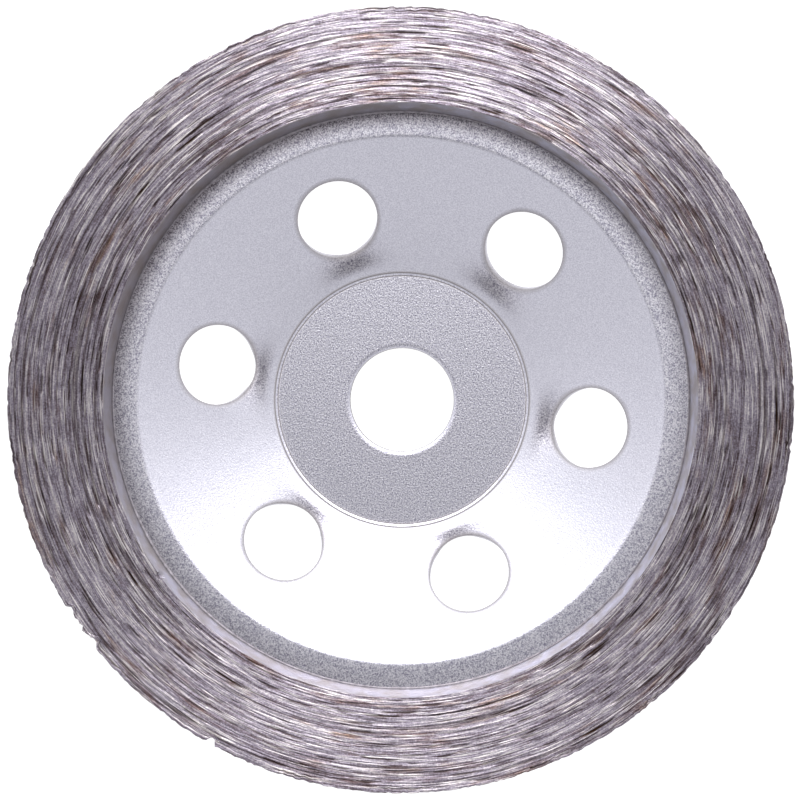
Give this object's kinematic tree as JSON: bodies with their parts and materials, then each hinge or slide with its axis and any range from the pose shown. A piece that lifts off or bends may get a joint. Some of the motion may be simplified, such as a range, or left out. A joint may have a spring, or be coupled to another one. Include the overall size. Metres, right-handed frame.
{
  "type": "diamond cup wheel",
  "caption": "Shallow pressed steel bowl with a bored hub, a ring of vent holes and a wide flat continuous diamond abrasive rim.",
  "frame": {"origin": "centre of the hub's back face, on the spindle axis", "axes": "+Z along the spindle axis towards the abrasive face; +X through the middle of one vent hole"},
  "size_m": [0.15, 0.15, 0.018],
  "materials": {
    "steel_body": "pressed, grit-blasted and silver-coated, satin",
    "braze": "solidified silver solder, slightly uneven",
    "plain_bond": "sintered metal bond without diamond, silver-coated on its inner wall",
    "diamond_bond": "sintered metal bond with diamond grit, dressed bare in long concentric scores"
  },
  "bodies": {
    "root": {"wheel_body": "steel_body", "braze_layer": "braze", "rim_backing": "plain_bond", "diamond_rim": "diamond_bond"}
  },
  "joints": []
}
